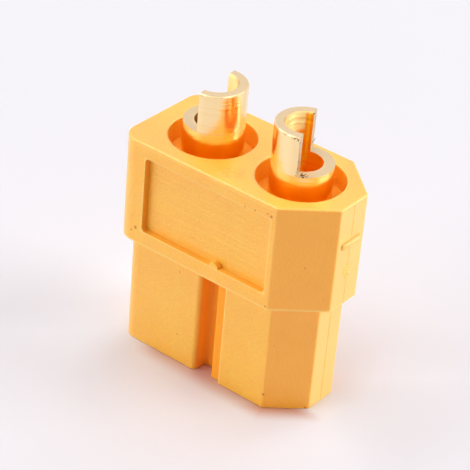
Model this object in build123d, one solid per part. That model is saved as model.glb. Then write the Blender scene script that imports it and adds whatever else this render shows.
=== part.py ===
from build123d import *

import os
from math import hypot

# Two-pole battery connector, socket half, standing on its mating face.
#
# A moulded body holds two turned contacts.  The wide grip block is on top, the narrower
# plug that enters the mating shroud is below it, and both have one end chamfered so that
# the pair only goes together one way.  Each contact is a socket at the bottom and a solder
# cup, half cut away, at the top.
#
# X runs along the width towards the chamfered end, Y through the thickness with the front
# at -Y, and Z up from the plug's tip.  All sizes are in millimetres.

# Turned contact, worked outwards from the bore that takes a 3.5 mm pin
socket_radius = 1.75
barrel_wall = 0.5
collar_step = 0.2
neck_step = 0.4
cup_wall = 0.73

# Walls of the moulded body round the two contacts
well_gap = 0.9
wall_between_wells = 1.3
wall_plain_end = 1.5
wall_keyed_end = 1.3
wall_broad_faces = 1.1

# Heights of the moulded body
plug_length = 8.3
grip_height = 7.7
well_depth = 1.5

# Heights along the contact, from the solder cup down to the socket's mouth
cup_rise = 4.0
ledge_rise = 1.2
cup_depth_below_ledge = 4.0
collar_drop = 2.5
collar_height = 2.0
socket_depth = 9.0
socket_recess = 0.6
socket_lead_in = 0.2

# Broken edges of the solder cup's rim
cup_rim_inside = 0.12
cup_rim_outside = 0.07

# The keyed outline: chamfers at +X, rounded corners at -X
chamfer_along_width = 3.0
chamfer_through_thickness = 2.65
grip_corner_radius = 1.3
plug_corner_radius = 1.0
keyed_edge_softness = 0.3

# How far the plug steps in from the grip block
step_front = 0.7
step_plain_end = 0.5
step_keyed_end = 0.8
step_chamfer = 0.62

# Soft moulded edges
grip_top_edge_radius = 0.12
grip_bottom_edge_radius = 0.05
tip_edge_radius = 0.08
well_rim_radius = 0.05

# Room for pressing the contacts in
neck_clearance = 0.05
passage_lead_in = 0.3

# Cut faces of the two solder cups: turn about Z, and how much is left past the axis
plain_cup_turn = 5.0
plain_cup_extra = 0.0
keyed_cup_turn = 22.0
keyed_cup_extra = 0.12

# Sunk panel on each broad face of the grip
panel_depth = 0.45
panel_corner_radius = 0.3
panel_margin_plain_end = 2.2
panel_margin_chamfer = 0.45
panel_margin_top = 1.0
panel_margin_bottom = 1.1

# Small moulding nub on the lower lip of the front panel
nub_radius = 0.35
nub_height = 0.42
nub_shift = 0.35

# Groove down the middle of each broad face of the plug
groove_width = 2.0
groove_depth = 1.15
groove_floor_round = 0.35
groove_lip_round = 0.35
shelf_width = 0.75
shelf_depth = 0.25
shelf_round = 0.1
shelf_lip_round = 0.12

# Cutting tools run this far past the faces they cut, and points this near are the same
overrun = 1.0
same_place = 0.0001

# Radii that follow, from the bore outwards
barrel_radius = socket_radius + barrel_wall
collar_radius = barrel_radius + collar_step
cup_radius = collar_radius - neck_step
cup_bore_radius = cup_radius - cup_wall
well_radius = cup_radius + well_gap

# The body's outline follows from the wells: 15.9 wide and 8.1 thick, at 7.2 pitch
contact_pitch = 2 * well_radius + wall_between_wells
body_width = wall_plain_end + 2 * well_radius + contact_pitch + wall_keyed_end
grip_half = well_radius + wall_broad_faces
plug_half = grip_half - step_front
plain_end = -body_width / 2
keyed_end = body_width / 2
plain_contact_x = plain_end + wall_plain_end + well_radius
keyed_contact_x = plain_contact_x + contact_pitch

# Heights that follow, up from the plug's tip
body_top = plug_length + grip_height
well_floor = body_top - well_depth
collar_top = well_floor - collar_drop
collar_bottom = collar_top - collar_height
cup_top = body_top + cup_rise
ledge = body_top + ledge_rise
cup_floor = ledge - cup_depth_below_ledge
socket_end = socket_recess + socket_depth


def keyed_outline(left, right, half, run, rise, corner):
    """Plan outline, chamfered at its right end and rounded at its left."""
    outline = make_face(
        Polyline(
            (left, -half),
            (right - run, -half),
            (right, rise - half),
            (right, half - rise),
            (right - run, half),
            (left, half),
            close=True,
        )
    )
    left_corners = outline.vertices().sort_by(Axis.X)[:2]
    outline = fillet(left_corners, corner)
    return fillet(outline.vertices().sort_by(Axis.X)[-4:], keyed_edge_softness)


def panel_cut(side):
    """Sunk panel of one broad face; side is -1 for the front and 1 for the back."""
    left = plain_end + panel_margin_plain_end
    right = keyed_end - chamfer_along_width - panel_margin_chamfer
    low = plug_length + panel_margin_bottom
    high = body_top - panel_margin_top
    centre = Vector((left + right) / 2, side * grip_half, (low + high) / 2)
    face = Plane(origin=centre, x_dir=(1, 0, 0), z_dir=(0, -side, 0))
    return extrude(face * RectangleRounded(right - left, high - low, panel_corner_radius), panel_depth)


def panel_nub():
    """Nub that stands on the front panel's floor, against its lower lip."""
    floor = panel_depth - grip_half
    foot = Vector(nub_shift, floor, plug_length + panel_margin_bottom)
    base = Plane(origin=foot, x_dir=(1, 0, 0), z_dir=(0, -1, 0))
    return extrude(base * Circle(nub_radius), nub_height)


def grip_block():
    """Wide block with soft edges and a sunk panel on each broad face."""
    outline = keyed_outline(
        plain_end, keyed_end, grip_half, chamfer_along_width, chamfer_through_thickness, grip_corner_radius
    )
    block = extrude(Pos(0, 0, plug_length) * outline, grip_height)
    ends = block.faces().sort_by(Axis.Z)
    block = fillet(ends[-1].edges(), grip_top_edge_radius)
    block = fillet(block.faces().sort_by(Axis.Z)[0].edges(), grip_bottom_edge_radius)
    return block - panel_cut(-1) - panel_cut(1) + panel_nub()


def plug_outline():
    """Plug in plan: the grip's outline stepped in, with a groove in each broad face."""
    slope = chamfer_through_thickness / chamfer_along_width
    rise = chamfer_through_thickness - step_keyed_end * slope + step_chamfer * hypot(1, slope) - step_front
    outline = keyed_outline(
        plain_end + step_plain_end, keyed_end - step_keyed_end, plug_half, rise / slope, rise, plug_corner_radius
    )
    groove_left = -groove_width / 2
    groove_right = groove_width / 2
    slot_right = groove_right - shelf_width
    floor = plug_half - groove_depth
    front_slot = make_face(
        Polyline(
            (groove_left, -plug_half - overrun),
            (groove_left, -floor),
            (slot_right, -floor),
            (slot_right, shelf_depth - plug_half),
            (groove_right, shelf_depth - plug_half),
            (groove_right, -plug_half - overrun),
            close=True,
        )
    )
    back_slot = Pos(0, plug_half) * Rectangle(groove_width, 2 * groove_depth)
    grooved = outline - front_slot - back_slot

    def corners(x, y):
        return [v for v in grooved.vertices() if abs(v.X - x) < same_place and abs(v.Y - y) < same_place]

    grooved = fillet(
        corners(groove_left, -floor)
        + corners(slot_right, -floor)
        + corners(groove_left, floor)
        + corners(groove_right, floor),
        groove_floor_round,
    )
    grooved = fillet(
        corners(groove_left, -plug_half) + corners(groove_left, plug_half) + corners(groove_right, plug_half),
        groove_lip_round,
    )
    grooved = fillet(corners(slot_right, shelf_depth - plug_half), shelf_round)
    return fillet(corners(groove_right, -plug_half), shelf_lip_round)


def contact_passage(x):
    """Everything cut through the body for one contact: well, neck hole and barrel bore."""
    well = Pos(x, 0, well_floor) * Cylinder(
        well_radius, well_depth, align=(Align.CENTER, Align.CENTER, Align.MIN)
    )
    neck = Pos(x, 0, collar_top) * Cylinder(
        cup_radius + neck_clearance, collar_drop, align=(Align.CENTER, Align.CENTER, Align.MIN)
    )
    bore = Pos(x, 0, 0) * Cylinder(collar_radius, collar_top, align=(Align.CENTER, Align.CENTER, Align.MIN))
    mouth = Pos(x, 0, 0) * Cone(
        collar_radius + passage_lead_in,
        collar_radius,
        passage_lead_in,
        align=(Align.CENTER, Align.CENTER, Align.MIN),
    )
    return well + neck + bore + mouth


def housing():
    """The moulded body in one piece."""
    plug = extrude(plug_outline(), plug_length)
    tip_edges = plug.faces().sort_by(Axis.Z)[0].outer_wire().edges()
    plug = fillet(tip_edges, tip_edge_radius)
    body = grip_block() + plug
    body = body - contact_passage(plain_contact_x) - contact_passage(keyed_contact_x)
    rims = body.edges().filter_by(GeomType.CIRCLE).filter_by(
        lambda e: abs(e.radius - well_radius) < same_place and abs(e.center().Z - body_top) < same_place
    )
    return fillet(rims, well_rim_radius)


def contact(x, turn, extra, kept_side):
    """One turned contact; kept_side is the side of its axis where the cup's tall half stands."""
    half_profile = make_face(
        Polyline(
            (0, cup_floor),
            (cup_bore_radius, cup_floor),
            (cup_bore_radius, cup_top - cup_rim_inside),
            (cup_bore_radius + cup_rim_inside, cup_top),
            (cup_radius - cup_rim_outside, cup_top),
            (cup_radius, cup_top - cup_rim_outside),
            (cup_radius, collar_top),
            (collar_radius, collar_top),
            (collar_radius, collar_bottom),
            (barrel_radius, collar_bottom),
            (barrel_radius, socket_recess),
            (socket_radius + socket_lead_in, socket_recess),
            (socket_radius, socket_recess + socket_lead_in),
            (socket_radius, socket_end),
            (0, socket_end),
            close=True,
        )
    )
    turned = revolve(Plane.XZ * half_profile, Axis.Z)
    across = 2 * (cup_radius + overrun)
    cut = Box(across, across, cup_top - ledge, align=(Align.MAX, Align.CENTER, Align.MIN))
    cut = Pos(-extra, 0, ledge) * cut
    if kept_side < 0:
        cut = Rot(0, 0, 180) * cut
    return Pos(x, 0, 0) * (turned - Rot(0, 0, turn) * cut)


parts = {
    "housing": housing(),
    "positive_contact": contact(plain_contact_x, plain_cup_turn, plain_cup_extra, 1),
    "negative_contact": contact(keyed_contact_x, keyed_cup_turn, keyed_cup_extra, -1),
}

os.makedirs("parts", exist_ok=True)
for name, piece in parts.items():
    export_step(piece, f"parts/{name}.step")
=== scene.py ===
import math

import bpy
import numpy as np
from mathutils import Matrix, Vector


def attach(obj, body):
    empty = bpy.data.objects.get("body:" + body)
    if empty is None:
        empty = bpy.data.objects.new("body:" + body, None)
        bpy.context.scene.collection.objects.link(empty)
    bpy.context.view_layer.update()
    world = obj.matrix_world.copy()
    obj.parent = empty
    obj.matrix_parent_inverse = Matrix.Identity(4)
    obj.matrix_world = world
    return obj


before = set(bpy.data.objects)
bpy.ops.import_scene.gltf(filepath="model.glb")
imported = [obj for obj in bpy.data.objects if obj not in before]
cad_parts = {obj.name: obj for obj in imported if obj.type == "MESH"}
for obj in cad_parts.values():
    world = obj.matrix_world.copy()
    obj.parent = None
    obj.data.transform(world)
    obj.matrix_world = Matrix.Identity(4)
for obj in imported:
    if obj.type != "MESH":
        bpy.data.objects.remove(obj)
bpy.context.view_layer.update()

MM = 0.001

# The view: a long lens looks down on the front and on the chamfered end, and the
# camera leans a little, so that the connector stands tilted in the picture.
camera_place = Vector((65.314, -91.921, 82.910)) * MM
camera_turn = math.radians(35.824)
camera_dip = math.radians(32.959)
camera_lean = math.radians(5.163)
picture_side = 470
focal_pixels = 2042.1
sensor_width = 36.0


def camera_matrix(place, turn, dip, lean):
    """Camera in front, turned towards +X, looking down by dip, and leaning about its own axis."""
    level = math.cos(dip)
    ahead = Vector((-math.sin(turn) * level, math.cos(turn) * level, -math.sin(dip)))
    right = ahead.cross(Vector((0, 0, 1))).normalized()
    up = right.cross(ahead)
    leaned_right = math.cos(lean) * right + math.sin(lean) * up
    leaned_up = math.cos(lean) * up - math.sin(lean) * right
    turned = Matrix((leaned_right, leaned_up, -ahead)).transposed()
    return Matrix.Translation(place) @ turned.to_4x4()


scene = bpy.context.scene
scene.view_settings.view_transform = "Standard"
camera_data = bpy.data.cameras.new("camera")
camera_data.sensor_width = sensor_width
camera_data.lens = focal_pixels / picture_side * sensor_width
camera_data.clip_start = 0.01
camera_data.clip_end = 10.0
camera = bpy.data.objects.new("camera", camera_data)
camera.matrix_world = camera_matrix(camera_place, camera_turn, camera_dip, camera_lean)
scene.collection.objects.link(camera)
scene.camera = camera

# Moulded body: one injection moulding in orange-yellow nylon.  Its skin has the fine grain
# of a spark-eroded mould, the sunk panels keep the lines of the cutter that made them, and a
# few specks are scorched.  Its colour also carries painted light: painted shade makes it
# deeper orange in the wells and grooves and on the chamfers, and painted highlights pale its
# ends and edges.
grip_half = 4.05
plug_half = 3.35
grip_end = 7.95
body_top = 16.0
plug_length = 8.3
middle_x = 0.1
half_pitch = 3.6
well_radius = 2.95
well_floor = 14.5
groove_half = 1.0
# the chamfers: their normal along X and Y, and how far their planes lie from the middle,
# on the grip and on the plug
chamfer_slope = (0.662, 0.7495)
chamfer_reach = 6.312
plug_chamfer_reach = 5.692
plug_ends = (-7.45, 7.15)
# the sunk panel: its middle and its half sizes along X and Z
panel_middle = (-0.625, 12.2)
panel_half = (5.125, 2.8)
panel_depth = 0.45
# the skin's two tones; then painted shade on the chamfers, a painted highlight on the ends, painted
# shade in the hollows and a painted highlight on the edges
nylon_warm = (1.000, 0.435, 0.015, 1)
nylon_pale = (1.000, 0.530, 0.032, 1)
nylon_chamfer_shade = (1.000, 0.388, 0.005, 1)
nylon_end_highlight = (1.000, 0.545, 0.110, 1)
nylon_hollow_shade = (1.000, 0.360, 0.004, 1)
nylon_edge_highlight = (1.000, 0.600, 0.120, 1)
# colour of the scorched specks, and of the painted shade along the front of the wells' rims
scorch_and_shade = (0.62, 0.18, 0.004, 1)
# x, y, z and radius of the scorched specks, in millimetres
specks = [
    (-6.26, -4.05, 9.45, 0.16),
    (-6.60, -4.05, 9.12, 0.10),
    (-2.78, -4.05, 9.49, 0.08),
    (4.53, -4.05, 15.21, 0.13),
    (4.25, -4.05, 15.30, 0.08),
    (2.87, -4.05, 14.89, 0.10),
    (2.45, -4.05, 15.02, 0.08),
    (3.25, -4.05, 15.10, 0.08),
    (4.73, -4.05, 8.52, 0.10),
    (6.51, -2.67, 11.65, 0.06),
    (-2.83, -3.35, 7.19, 0.07),
    (-2.68, -3.35, 2.21, 0.08),
    (4.81, -3.35, 1.11, 0.13),
    (5.10, -3.09, 5.09, 0.05),
    (6.98, -1.43, 0.12, 0.12),
    (5.20, 4.05, 12.60, 0.09),
    (-4.10, 3.35, 5.20, 0.09),
    (2.90, 3.35, 2.60, 0.07),
]
# middle of the patch on the top, between the wells, that is scuffed
scuff_place = (0.15, -2.75, body_top)


class Value:
    """A number that varies over a surface: arithmetic on it adds Math nodes."""

    def __init__(self, tree, socket):
        self.tree = tree
        self.socket = socket

    def maths(self, operation, *others):
        """The result of a Math node on it and the others."""
        inputs = {i + 1: other for i, other in enumerate(others)}
        return self.tree.node("ShaderNodeMath", {0: self, **inputs}, operation=operation)

    def __add__(self, other):
        return self.maths("ADD", other)

    def __sub__(self, other):
        return self.maths("SUBTRACT", other)

    def __rsub__(self, other):
        return self.tree.node("ShaderNodeMath", {0: other, 1: self}, operation="SUBTRACT")

    def __mul__(self, other):
        return self.maths("MULTIPLY", other)

    __radd__ = __add__
    __rmul__ = __mul__

    def size(self):
        """How far it is from 0."""
        return self.maths("ABSOLUTE")

    def capped(self):
        """The smaller of it and 1."""
        return self.maths("MINIMUM", 1.0)

    def rises(self, low, high):
        """0 below low, 1 above high and a smooth step between."""
        return self.tree.node(
            "ShaderNodeMapRange",
            {"Value": self, "From Min": low, "From Max": high},
            interpolation_type="SMOOTHSTEP",
        )

    def falls(self, low, high):
        """1 below low, 0 above high and a smooth step between."""
        return self.tree.node(
            "ShaderNodeMapRange",
            {"Value": self, "From Min": low, "From Max": high, "To Min": 1.0, "To Max": 0.0},
            interpolation_type="SMOOTHSTEP",
        )


class Tree:
    """The nodes of a material or a world, which all lead to one node, its surface."""

    def __init__(self, owner, surface):
        owner.use_nodes = True
        self.tree = owner.node_tree
        self.surface = self.tree.nodes[surface]

    def node(self, kind, inputs, output=0, **settings):
        """Add a node: its settings come first, then a number or a link for each input."""
        made = self.tree.nodes.new(kind)
        for setting, value in settings.items():
            setattr(made, setting, value)
        for socket, value in inputs.items():
            target = made.inputs[socket]
            if isinstance(value, Value):
                self.tree.links.new(value.socket, target)
            else:
                target.default_value = value
        return Value(self, made.outputs[output])

    def feed(self, socket, value):
        """Link a value to an input of the surface."""
        self.tree.links.new(value.socket, self.surface.inputs[socket])


class Shader(Tree):
    """One procedural material on the principled shader."""

    def __init__(self, name, **constants):
        self.material = bpy.data.materials.new(name)
        super().__init__(self.material, "Principled BSDF")
        for socket, value in constants.items():
            self.surface.inputs[socket.replace("_", " ")].default_value = value
        self.place = self.node("ShaderNodeTexCoord", {}, output="Object")

    def axes(self):
        """The three object coordinates, in millimetres."""
        inputs = {0: self.place, "Scale": 1 / MM}
        scaled = self.node("ShaderNodeVectorMath", inputs, operation="SCALE")
        split = self.node("ShaderNodeSeparateXYZ", {0: scaled}).socket.node
        return [Value(self, split.outputs[i]) for i in range(3)]

    def noise(self, scale, detail=2.0, roughness=0.5, stretch=(1, 1, 1)):
        """Noise centred on 0.5; scale is in cells per millimetre."""
        inputs = {0: self.place, 1: [share / MM for share in stretch]}
        place = self.node("ShaderNodeVectorMath", inputs, operation="MULTIPLY")
        inputs = {"Vector": place, "Scale": scale, "Detail": detail, "Roughness": roughness}
        return self.node("ShaderNodeTexNoise", inputs)

    def near(self, x, y, z):
        """Distance from a point given in millimetres."""
        inputs = {0: self.place, 1: (x * MM, y * MM, z * MM)}
        distance = self.node("ShaderNodeVectorMath", inputs, output="Value", operation="DISTANCE")
        return distance * (1 / MM)

    def blend(self, share, one, other):
        """Colour that turns from one to the other as share goes from 0 to 1."""
        inputs = {0: share, 6: one, 7: other}
        return self.node("ShaderNodeMix", inputs, output=2, data_type="RGBA")

    def bump(self, height, relief, under=None):
        """Normal from a height that varies; relief is the height of 1, in millimetres."""
        inputs = {"Height": height, "Distance": relief * MM}
        if under is not None:
            inputs["Normal"] = under
        return self.node("ShaderNodeBump", inputs)


def from_contact(x, y):
    """Distance from the nearer contact's axis: root of (|x - middle| - half pitch)^2 + y^2."""
    along = (x - middle_x).size() - half_pitch
    return (along * along + y * y).maths("SQRT")


nylon = Shader(
    "moulded_nylon",
    IOR=1.55,
    Coat_Roughness=0.32,
    Subsurface_Weight=0.5,
    Subsurface_Radius=(1.0, 0.85, 0.6),
    Subsurface_Scale=0.3 * MM,
)
x, y, z = nylon.axes()
from_axis = from_contact(x, y)
past_well = from_axis - well_radius
below_top = body_top - z
above_plug = z - plug_length
# how far a place lies below the grip's broad faces, and below the nearest of all its sides
sunk = grip_half - y.size()
to_chamfer = x * chamfer_slope[0] + y.size() * chamfer_slope[1]
under_side = sunk.maths("MINIMUM", grip_end - x.size())
under_side = under_side.maths("MINIMUM", chamfer_reach - to_chamfer)
in_plug = above_plug.falls(-0.02, 0.0)
on_chamfer = to_chamfer.rises(chamfer_reach - 0.06, chamfer_reach - 0.01)
on_chamfer = on_chamfer + in_plug * to_chamfer.rises(
    plug_chamfer_reach - 0.06, plug_chamfer_reach - 0.01
)
on_end = x.rises(grip_end - 0.05, grip_end - 0.005)
on_end = on_end + in_plug * x.rises(plug_ends[1] - 0.05, plug_ends[1] - 0.005)
# distance inside the panel's outline, along whichever side is nearest
in_outline = (panel_half[0] - (x - panel_middle[0]).size()).maths(
    "MINIMUM", panel_half[1] - (z - panel_middle[1]).size()
)
in_panel = in_outline.rises(-0.05, 0.0)
on_panel = in_panel * sunk.rises(panel_depth - 0.02, panel_depth - 0.002)
panel_wall = in_panel * sunk.rises(0.03, 0.2) * sunk.falls(panel_depth - 0.03, panel_depth - 0.004)
panel_foot = on_panel * in_outline.falls(0.0, 0.13)
beside_plain_end = (x - panel_middle[0]).falls(0.15 - panel_half[0], 0.5 - panel_half[0])
in_well = past_well.falls(0.01, 0.04) * below_top.rises(0.02, 0.25)
on_well_floor = z.falls(well_floor + 0.02, well_floor + 0.1)
in_groove = (
    x.size().falls(groove_half, groove_half + 0.35)
    * y.size().falls(plug_half - 0.28, plug_half - 0.02).maths("MAXIMUM", x.falls(-0.1, 0.0) * 0.6)
    * y.size().rises(1.0, 1.1)
    * above_plug.falls(-0.02, 0.02)
)
under_step = above_plug.falls(-0.01, 0.0) * above_plug.rises(-0.16, -0.02)
# the hollows, where painted shade makes the plastic deeper orange
hollow_shade = (
    in_well * (1.0 - on_well_floor * 0.45)
    + in_groove
    + panel_wall * (beside_plain_end * 0.5 + 0.3)
    + panel_foot * (beside_plain_end * 0.3 + 0.2)
    + under_step * 0.35
)
# painted highlights, paler lines along the edges: of the grip, the panel, the wells, the groove and
# the plug's tip
groove_lip_highlight = (x - groove_half - 0.06).size().falls(0.05, 0.13)
groove_lip_highlight = groove_lip_highlight * y.falls(0.03 - plug_half, 0.1 - plug_half) * above_plug.falls(-0.1, 0.0)
edge_highlights = (
    below_top.falls(0.03, 0.13) * under_side.falls(0.03, 0.13) * 0.6
    + above_plug.size().falls(0.12, 0.20) * under_side.falls(0.05, 0.12)
    + sunk.falls(0.01, 0.08) * (to_chamfer - chamfer_reach).size().falls(0.02, 0.10) * 0.2
    + in_outline.size().falls(0.04, 0.11) * sunk.falls(0.01, 0.05)
    + past_well.falls(0.05, 0.10) * below_top.falls(0.02, 0.05)
    + groove_lip_highlight
    + z.falls(0.03, 0.12) * on_chamfer
)
cloud = nylon.noise(0.45, 3.0)
grain = nylon.noise(7.0, 2.0, 0.7)
pale = cloud.rises(0.3, 0.7) * 0.3 + grain.rises(0.33, 0.67) * 0.7
colour = nylon.blend(pale, nylon_warm, nylon_pale)
# painted shade: the chamfers are a darker, deeper orange than the broad faces
colour = nylon.blend(on_chamfer.capped() * 0.75, colour, nylon_chamfer_shade)
# painted highlight: the ends are paler
colour = nylon.blend(on_end.capped() * 0.8, colour, nylon_end_highlight)
# painted highlight along the edges
colour = nylon.blend(edge_highlights.capped() * 0.8, colour, nylon_edge_highlight)
# painted shade: deeper orange in the wells, the groove, along the panel's walls and under the step
colour = nylon.blend(hollow_shade.capped(), colour, nylon_hollow_shade)
scorch_and_lip_shade = sum(nylon.near(*place).falls(radius * 0.5, radius) for *place, radius in specks)
# painted shade: a ragged darker line along the front of each well's rim, in the scorch colour
lip_shade = past_well.falls(0.08, 0.12) * below_top.falls(0.06, 0.10)
lip_shade = lip_shade * y.falls(-1.6, -0.6) * grain.rises(0.38, 0.48)
scorch_and_lip_shade = (scorch_and_lip_shade * 0.9 + lip_shade * 0.6).capped()
nylon.feed("Base Color", nylon.blend(scorch_and_lip_shade, colour, scorch_and_shade))
nylon.feed("Coat Weight", 0.8 - (hollow_shade + scorch_and_lip_shade).capped() * 0.7)
nylon.feed("Roughness", grain.rises(0.2, 0.8) * 0.12 + hollow_shade.capped() * 0.4 + 0.36)
cutter = nylon.noise(4.5, 3.0, 0.7, stretch=(0.03, 0.03, 1.0))
above_panel = below_top.rises(0.15, 0.30) * below_top.falls(0.90, 0.98) * sunk.falls(0.01, 0.03)
cutter_lines = cutter * (on_panel * 0.9 + above_panel * 0.9 + 0.1)
scuffed = nylon.near(*scuff_place).falls(0.5, 1.0) * below_top.falls(0.0, 0.05)
skin = nylon.bump(grain, 0.06)
skin = nylon.bump(nylon.noise(2.6, 3.0, 0.6) * scuffed, 0.3, skin)
nylon.feed("Normal", nylon.bump(cutter_lines, 0.07, skin))
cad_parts["housing"].material_slots[0].material = nylon.material

# Trim: small raised pieces of the same moulding.  They are too thin to glow, so they have
# its plain skin, a little paler.
trim_warm = (0.99, 0.45, 0.04, 1)
trim_pale = (1.0, 0.53, 0.07, 1)
trim = Shader("moulded_nylon_trim", Roughness=0.42, IOR=1.55, Coat_Weight=0.8, Coat_Roughness=0.32)
trim_grain = trim.noise(5.0, 2.0, 0.7)
trim.feed("Base Color", trim.blend(trim_grain.rises(0.25, 0.75), trim_warm, trim_pale))
trim.feed("Normal", trim.bump(trim_grain, 0.06))

# Polarity marks: a raised minus on the chamfered end and a raised plus on the plain end,
# moulded in one with the body, with soft edges.
mark_reach = 0.99
mark_half = 0.24
mark_middle = 13.07
mark_height = 0.22
mark_soft = 0.20
mark_ramp = 3.0
mark_sunk = 0.05


def bar_radius(turn, along, across):
    """Polar radius of a bar with rounded corners: the 8th-power superellipse of its half sizes."""
    return (np.abs(np.cos(turn) / along) ** 8 + np.abs(np.sin(turn) / across) ** 8) ** (-1 / 8)


def piece(name, shells, material):
    """One object on the body from closed shells, each a stack of rings of points in millimetres.

    A shell joins point k of each ring to point k of the next, and closes its first and its
    last ring to their middles; its faces are turned round if the volume inside is negative.
    """
    points, faces, start = [], [], 0
    for rings in shells:
        rows, around = rings.shape[:2]
        own = np.concatenate([rings.reshape(-1, 3), rings[:1].mean(1), rings[-1:].mean(1)])
        here = np.arange(rows * around).reshape(rows, around)
        after = np.roll(here, -1, axis=1)
        first, last = rows * around, rows * around + 1
        low_cap = np.stack([np.full(around, first), after[0], here[0]], -1)
        high_cap = np.stack([np.full(around, last), here[-1], after[-1]], -1)
        one = np.stack([here[:-1], after[:-1], after[1:]], -1).reshape(-1, 3)
        two = np.stack([here[:-1], after[1:], here[1:]], -1).reshape(-1, 3)
        triangles = np.concatenate([one, two, low_cap, high_cap])
        a, b, c = (own[triangles[:, k]] for k in range(3))
        if np.einsum("ij,ij->", a, np.cross(b, c)) < 0:
            triangles = triangles[:, ::-1]
        points.append(own)
        faces.append(triangles + start)
        start += len(own)
    mesh = bpy.data.meshes.new(name)
    mesh.from_pydata((np.concatenate(points) * MM).tolist(), [], np.concatenate(faces).tolist())
    mesh.materials.append(material)
    made = bpy.data.objects.new(name, mesh)
    scene.collection.objects.link(made)
    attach(made, "root")


def raised_mark(bars, face_x, side):
    """Stack of rings of a raised mark, each ring round all its bars, given by their half sizes.

    Ring k has its bars' half widths less soft * (1 - cos a), and their half lengths less ramp
    times that, at a height of top - soft * (1 - sin a), with a from 0 to a right angle, so that
    the edge is a quarter circle, drawn out at the bars' ends.
    """
    turns = np.linspace(0, 2 * np.pi, 720, endpoint=False)
    a = np.linspace(0, np.pi / 2, 7)
    less = np.concatenate([[0.0], mark_soft * (1 - np.cos(a))])[:, None]
    height = np.concatenate([[-mark_sunk], mark_height - mark_soft * (1 - np.sin(a))])[:, None]

    def drawn_in(half, other_half):
        """A bar's half size less its share of the softness, which is more along the bar."""
        return half - less * (mark_ramp if half > other_half else 1.0)

    bar_reaches = [
        bar_radius(turns, drawn_in(along, across), drawn_in(across, along))
        for along, across in bars
    ]
    reach = np.max(bar_reaches, axis=0)
    out = np.broadcast_to(face_x + side * height, reach.shape)
    return np.stack([out, reach * np.cos(turns), mark_middle + reach * np.sin(turns)], -1)


lying_bar = (mark_reach, mark_half)
standing_bar = (mark_half, mark_reach)
minus = raised_mark([lying_bar], grip_end, 1)
plus = raised_mark([lying_bar, standing_bar], -grip_end, -1)
piece("minus_mark", [minus], trim.material)
piece("plus_mark", [plus], trim.material)

# Parting line: where the two halves of the mould met, a thin ridge of flash runs down the
# middle of both ends, over the grip and the plug.
flash_section = np.array(
    [(-0.06, -0.03), (-0.03, 0.006), (0.0, 0.02), (0.06, 0.022), (0.16, 0.012), (0.26, -0.03)]
)
rng = np.random.default_rng(7)


def flash(face_x, side, low, high):
    """Ridge up an end face: its section is carried up, and slow noise moves it in y.

    More slow noise scales the points of the section that stand out of the face.
    """
    up = np.linspace(low, high, 60)
    sway = np.convolve(rng.normal(0, 0.012, up.size), np.ones(5) / 5, "same")
    swell = 1 + np.convolve(rng.normal(0, 0.5, up.size), np.ones(4) / 4, "same")
    section_y, section_out = flash_section.T
    across = sway[:, None] + section_y
    out = section_out * np.where(section_out > 0, swell[:, None], 1)
    return np.stack([face_x + side * out, across, np.broadcast_to(up[:, None], across.shape)], -1)


piece(
    "parting_line",
    [
        flash(grip_end, 1, plug_length + 0.05, body_top - 0.1),
        flash(-grip_end, -1, plug_length + 0.05, body_top - 0.1),
        flash(plug_ends[1], 1, 0.1, plug_length),
        flash(plug_ends[0], -1, 0.1, plug_length),
    ],
    trim.material,
)

# Gate mark: the stub left where the runner was sheared off the chamfered end, rough, a
# little paler than the skin and darker in its hollows.
gate_radius = 0.52
gate_middle = 10.9
gate_height = 0.07
gate_hollow = (0.44, 0.19, 0.003, 1)
gate_pale = (0.98, 0.57, 0.042, 1)
gate = Shader("sheared_gate", Roughness=0.4, IOR=1.55, Coat_Weight=0.8, Coat_Roughness=0.3)
crumbs = gate.noise(6.0, 3.0, 0.7)
gate.feed("Base Color", gate.blend(crumbs.rises(0.37, 0.45), gate_hollow, gate_pale))
gate.feed("Normal", gate.bump(crumbs, 0.12))
# the outline is a circle with three waves round it
turns = np.linspace(0, 2 * np.pi, 96, endpoint=False)
shares = np.linspace(1, 0.03, 24)[:, None]
ragged = 0.05 * np.sin(3 * turns + 0.6) + 0.03 * np.sin(7 * turns + 2.0) + 0.02 * np.sin(13 * turns)
reach = gate_radius * shares * (1 + ragged)
# the crown is a flat-topped dome, 1 - share to the 6th power, times two waves across it
waves = 0.22 * np.sin(9 * reach * np.cos(turns) + 1.0) + 0.18 * np.sin(11 * reach * np.sin(turns))
crown = gate_height * (1 - shares**6) * (waves + 0.6)
dome = np.stack([grip_end + crown, reach * np.cos(turns), gate_middle + reach * np.sin(turns)], -1)
foot = dome[:1] - np.array([mark_sunk, 0, 0])
piece("gate_mark", [np.concatenate([foot, dome])], gate.material)

# Turned contacts: brass, gold plated after turning and after the solder cups were cut, so
# fine rings show on the barrels, and the cut faces are matt and paler.  Low down, and
# inside the cups, painted reflection turns the gold orange as if it mirrored the body, and
# painted shade and light colour the holes.
ledge = 17.2
cup_top = 20.0
cup_radius = 2.05
cup_bore = 1.32
plain_axis = middle_x - half_pitch
keyed_axis = middle_x + half_pitch
# each cup's axis, the turn of its cut faces, and how far past the axis they lie
cup_cuts = ((plain_axis, math.radians(5.0), 0.0), (keyed_axis, math.radians(22.0), 0.12))
gold_bright = (1.0, 0.76, 0.40, 1)
gold_body_reflection = (1.0, 0.70, 0.008, 1)
gold_cut = (0.58, 0.445, 0.265, 1)
gold_inside = (1.0, 0.78, 0.33, 1)
gold_line = (0.92, 0.42, 0.06, 1)
gold_inner_edge_shade = (0.55, 0.33, 0.12, 1)
# painted reflection of the body on the keyed cup's wall, high and low: first beside a bright strip,
# then in it
gold_reflected_glow = ((0.98, 0.35, 0.006, 1), (1.0, 0.42, 0.006, 1))
gold_reflected_strip = ((1.0, 0.62, 0.008, 1), (1.0, 0.74, 0.012, 1))
strip_place = 0.17
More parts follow.
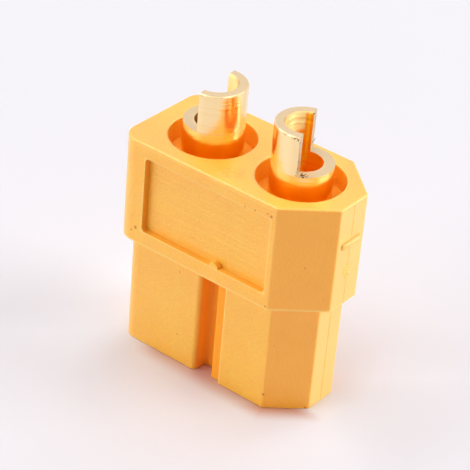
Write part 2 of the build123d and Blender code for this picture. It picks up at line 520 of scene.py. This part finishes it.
# painted light low in the holes: painted shade in the plain cup's, and on the keyed cup's near and
# far sides a painted gold highlight and a painted orange reflection of the body
gold_hole_light = ((0.35, 0.03, 0.010, 1), (1.0, 0.76, 0.03, 1), (1.0, 0.36, 0.008, 1))
# direction in plan across the keyed cup, along which the painted reflections on its wall change
far_way = (0.811, 0.585)

gold = Shader("gold_plated_brass")
x, y, z = gold.axes()
from_axis = from_contact(x, y)
inside = from_axis.falls(cup_bore + 0.04, cup_bore + 0.14)
rim = z.rises(cup_top - 0.01, cup_top - 0.001) + (z - ledge).size().falls(0.002, 0.01)
for axis_x, turn, extra in cup_cuts:
    from_cut = (x - axis_x) * math.cos(turn) + y * math.sin(turn) - extra
    of_this_cup = (x - axis_x).size().falls(cup_radius + 0.15, cup_radius + 0.35)
    rim = rim + from_cut.size().falls(0.004, 0.012) * z.rises(ledge - 0.01, ledge) * of_this_cup
cut = rim.capped() * from_axis.rises(cup_bore - 0.02, cup_bore + 0.02)
# painted shade: the bevel round the top of the bore is darkened, which dulls its highlight
inner_edge_shade = z.rises(cup_top - 0.125, cup_top - 0.11)
inner_edge_shade = inner_edge_shade * from_axis.falls(cup_bore + 0.10, cup_bore + 0.14)
rings = gold.noise(7.0, 3.0, 0.6, stretch=(0.03, 0.03, 1.0))
ring_groups = gold.noise(2.0, 3.0, 0.6, stretch=(0.08, 0.08, 1.0))
scratches = gold.noise(30.0, 2.0, 0.6, stretch=(1.0, 1.0, 0.15))
low_inside = inside * z.falls(ledge - 1.6, ledge + 0.6)
# painted reflection: towards the body the gold turns orange, as if it mirrored the plastic
colour = gold.blend(z.falls(body_top - 0.3, body_top + 1.4), gold_bright, gold_body_reflection)
colour = gold.blend(inside, colour, gold_inside)
# painted reflection: the keyed cup's inner wall turns orange low down and towards its far edge, as
# if it mirrored the body
keyed_cup = x.rises(-0.1, 0.1)
down = cup_top - z
towards_far_edge = (x - keyed_axis) * far_way[0] + y * far_way[1]
reflected_glow = (towards_far_edge + rings * 0.12).rises(-0.08, 0.04)
reflected_glow = reflected_glow.maths("MAXIMUM", (down + towards_far_edge * 0.6 + rings * 0.8).rises(1.2, 1.8))
reflected_strip = (towards_far_edge - strip_place).size().falls(0.04, 0.13)
lower = down.rises(1.0, 2.8)
painted_reflection = gold.blend(reflected_strip, gold.blend(lower, *gold_reflected_glow), gold.blend(lower, *gold_reflected_strip))
colour = gold.blend(inside * keyed_cup * reflected_glow, colour, painted_reflection)
outside_streaks = z.rises(body_top + 0.5, body_top + 1.5) * 0.1
streaks = rings.rises(0.54, 0.66) * (inside * (keyed_cup * 0.35 + 0.15) + outside_streaks)
colour = gold.blend(streaks, colour, gold_line)
plain_hole_shade, keyed_hole_lit_side, keyed_hole_reflecting_side = gold_hole_light
keyed_hole_light = gold.blend((towards_far_edge + rings * 0.3).rises(0.10, 0.35), keyed_hole_lit_side, keyed_hole_reflecting_side)
# painted shade and reflection low in the holes
colour = gold.blend(low_inside, colour, gold.blend(keyed_cup, plain_hole_shade, keyed_hole_light))
colour = gold.blend(cut, colour, gold_cut)
gold.feed("Base Color", gold.blend(inner_edge_shade * 0.75, colour, gold_inner_edge_shade))
gold.feed("Metallic", 1.0 - inside * 0.25 - cut * 0.1 + low_inside * 0.25)
matt = inside * 0.2 + low_inside * 0.35 + cut * 0.3
gold.feed("Roughness", matt + ring_groups.rises(0.3, 0.7) * 0.06 + 0.14)
turned = gold.bump(rings * (ring_groups.rises(0.35, 0.65) + inside * 1.5 + 0.25), 0.012)
gold.feed("Normal", gold.bump(scratches * (cut + inside * 0.5), 0.004, turned))
for name in ("positive_contact", "negative_contact"):
    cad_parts[name].material_slots[0].material = gold.material

# Burrs: the saw that halved the solder cups left ragged curls along the cut edges, plated
# over with the rest.  They are coloured dark brown, painted shade for the shadows in and
# under them.
burr = Shader("plated_burr", Base_Color=(0.16, 0.08, 0.025, 1), Metallic=0.7, Roughness=0.45)
# where the keyed cup's cut faces meet its outside, in front, and its bore, at the back
near_edge = (4.578, -1.852)
far_edge = (3.318, 1.264)


def strand(path, girth):
    """Closed thread of six sides along a path; girth is its radius at each point."""
    path = np.asarray(path, float)
    ahead = np.gradient(path, axis=0)
    ahead /= np.linalg.norm(ahead, axis=1, keepdims=True)
    side = np.cross(ahead, (0.31, 0.22, 0.93))
    side /= np.linalg.norm(side, axis=1, keepdims=True)
    up = np.cross(side, ahead)
    a = np.linspace(0, 2 * np.pi, 6, endpoint=False)[None, :, None]
    girth = np.broadcast_to(girth, len(path))[:, None, None]
    return path[:, None] + girth * (np.cos(a) * side[:, None] + np.sin(a) * up[:, None])


def ragged_girth(count, mean):
    """Girth that comes and goes along a burr: mean times a seeded, smoothed positive draw."""
    draw = np.convolve(rng.exponential(1.0, count + 2), np.ones(3) / 3, "valid")
    return mean * np.clip(draw - 0.75, 0.05, 2.2)


def rim_burr(axis_x, start, end, height, mean, count=40):
    """Burr round the outside of a cup, from one turn to another, in degrees."""
    a = np.radians(np.linspace(start, end, count))
    wander = np.convolve(rng.normal(0, 0.02, count + 2), np.ones(3) / 3, "valid")
    ring = [axis_x + cup_radius * np.cos(a), cup_radius * np.sin(a), height + wander]
    return strand(np.stack(ring, -1), ragged_girth(count, mean))


def edge_burr(x, y, low, high, mean, count=48):
    """Burr up a straight cut edge, from one height to another."""
    wander = rng.normal(0, 0.018, (count, 2))
    up = np.linspace(low, high, count)
    line = np.stack([x + wander[:, 0], y + wander[:, 1], up], -1)
    return strand(line, ragged_girth(count, mean))


def curl(x, y, z, reach, lift, girth, count=24):
    """Loose curl: a helix of one and a half turns that widens and rises a little."""
    a = np.linspace(0, 3 * np.pi, count) + rng.uniform(0, 2 * np.pi)
    wide = reach * np.linspace(0.4, 1.0, count)
    up = z + lift * np.linspace(0, 1, count)
    return strand(np.stack([x + wide * np.cos(a), y + wide * np.sin(a), up], -1), girth)


def thread(places, girth):
    """Short loose strand through places given by x, y and how far above the ledge they are."""
    return strand([(x, y, ledge + up) for x, y, up in places], girth)


piece(
    "cup_burrs",
    [
        rim_burr(plain_axis, -86, -42, cup_top - 0.08, 0.018),
        rim_burr(keyed_axis, -95, -66, cup_top - 0.10, 0.034),
        rim_burr(keyed_axis, -80, -67, cup_top - 0.20, 0.028),
        rim_burr(keyed_axis, -60, -36, ledge - 0.01, 0.020),
        edge_burr(*near_edge, ledge + 0.02, ledge + 1.2, 0.022),
        edge_burr(*near_edge, ledge + 1.2, ledge + 2.5, 0.010),
        edge_burr(near_edge[0] - 0.05, near_edge[1] - 0.01, ledge + 0.02, ledge + 0.4, 0.03, 16),
        curl(4.76, -1.48, ledge, 0.07, 0.08, 0.022),
        thread([(4.64, -1.54, -0.01), (4.69, -1.46, 0.08), (4.67, -1.38, 0.18)], 0.026),
        thread([(4.80, -1.48, -0.01), (4.86, -1.38, 0.06), (4.95, -1.36, 0.16)], 0.022),
        thread([(4.98, -1.44, -0.01), (5.06, -1.33, 0.06), (5.05, -1.24, 0.08)], 0.014),
        curl(*far_edge, cup_top - 0.03, 0.05, 0.02, 0.022),
        thread(
            [(3.30, 1.35, 0.58), (3.38, 1.40, 0.73), (3.46, 1.36, 0.88), (3.52, 1.40, 1.00)], 0.016
        ),
    ],
    burr.material,
)

# The table: a pale board, wide enough to fill the view.  Close to the front of the plug it
# carries a painted shadow, tinted orange as by light that comes through the plastic, and
# beside the ends it is painted paler, as painted fill light.
table_half = 0.6
board_plain = (0.72, 0.70, 0.74, 1)
board_fill_light = (0.88, 0.90, 0.98, 1)
board_contact_shadow = (0.54, 0.25, 0.15, 1)
table_mesh = bpy.data.meshes.new("table")
corners = np.array([(-1, -1, 0), (1, -1, 0), (1, 1, 0), (-1, 1, 0)], float) * table_half
table_mesh.from_pydata(corners.tolist(), [], [(0, 1, 2, 3)])
table = bpy.data.objects.new("table", table_mesh)
scene.collection.objects.link(table)
board = Shader("pale_board", Roughness=0.5)
x, y = board.axes()[:2]
past_front = y * -1.0 - plug_half
past_chamfer = x * chamfer_slope[0] - y * chamfer_slope[1] - plug_chamfer_reach
past_ends = (x - plug_ends[1]).maths("MAXIMUM", plug_ends[0] - x)
# how far a place lies outside the plug's foot
gap = past_front.maths("MAXIMUM", past_chamfer)
gap = gap.maths("MAXIMUM", past_ends).maths("MAXIMUM", y - plug_half)
# painted light: the board is paler beside the ends, filling in the shadow there
fill_light = gap.falls(0.0, 8.0) * x.size().rises(5.5, 9.0) * (x.rises(-1.0, 1.0) * 0.05 + 0.55)
# painted shadow, tinted orange, close to the front and the chamfer of the plug
contact_shadow = gap.falls(-0.2, 1.5) * x.rises(-6.2, -4.0) * y.falls(-2.2, -1.1)
contact_shadow = contact_shadow * (past_chamfer.rises(-0.6, 0.1) * 0.3 + 0.7)
colour = board.blend(fill_light, board_plain, board_fill_light)
board.feed("Base Color", board.blend(contact_shadow, colour, board_contact_shadow))
table_mesh.materials.append(board.material)

# The light tent: soft lamps all round and above, brightest low down behind at the right and
# in front at the left, and a pale sky that only the camera and mirrors see.
middle = Vector((0, 0, 9)) * MM
lamp_distance = 0.8
lamp_height = 0.6
sky_colour = (0.913, 0.888, 0.930, 1)


def lamp(name, turn, rise, width, power):
    """Soft lamp that faces the object; turn is from the front towards +X, both in degrees."""
    data = bpy.data.lights.new(name, "AREA")
    data.shape = "RECTANGLE"
    data.size = width
    data.size_y = lamp_height
    data.energy = power
    made = bpy.data.objects.new(name, data)
    a, e = math.radians(turn), math.radians(rise)
    back = Vector((math.sin(a) * math.cos(e), -math.cos(a) * math.cos(e), math.sin(e)))
    place = Matrix.Translation(middle + back * lamp_distance)
    made.matrix_world = place @ back.to_track_quat("Z", "Y").to_matrix().to_4x4()
    scene.collection.objects.link(made)


lamp("lamp_back", 120, 8, 0.6, 8.9)
lamp("lamp_left", -39, 8, 0.8, 6.0)
lamp("lamp_front_right", 45, 20, 0.6, 0.55)
lamp("lamp_top_left", -60, 70, 0.6, 2.8)
lamp("lamp_side", -90, 50, 0.6, 1.8)
lamp("lamp_top_right", 120, 70, 0.6, 1.4)
lamp("lamp_behind", 180, 50, 0.6, 1.7)

scene.world = bpy.data.worlds.new("tent")
sky = Tree(scene.world, "World Output")
to_camera = sky.node("ShaderNodeLightPath", {}, output="Is Camera Ray")
to_mirror = sky.node("ShaderNodeLightPath", {}, output="Is Glossy Ray")
unseen_sky = sky.node("ShaderNodeBackground", {"Strength": 0.0})
seen_sky = sky.node("ShaderNodeBackground", {"Color": sky_colour})
seen = to_camera.maths("MAXIMUM", to_mirror)
sky.feed("Surface", sky.node("ShaderNodeMixShader", {0: seen, 1: unseen_sky, 2: seen_sky}))
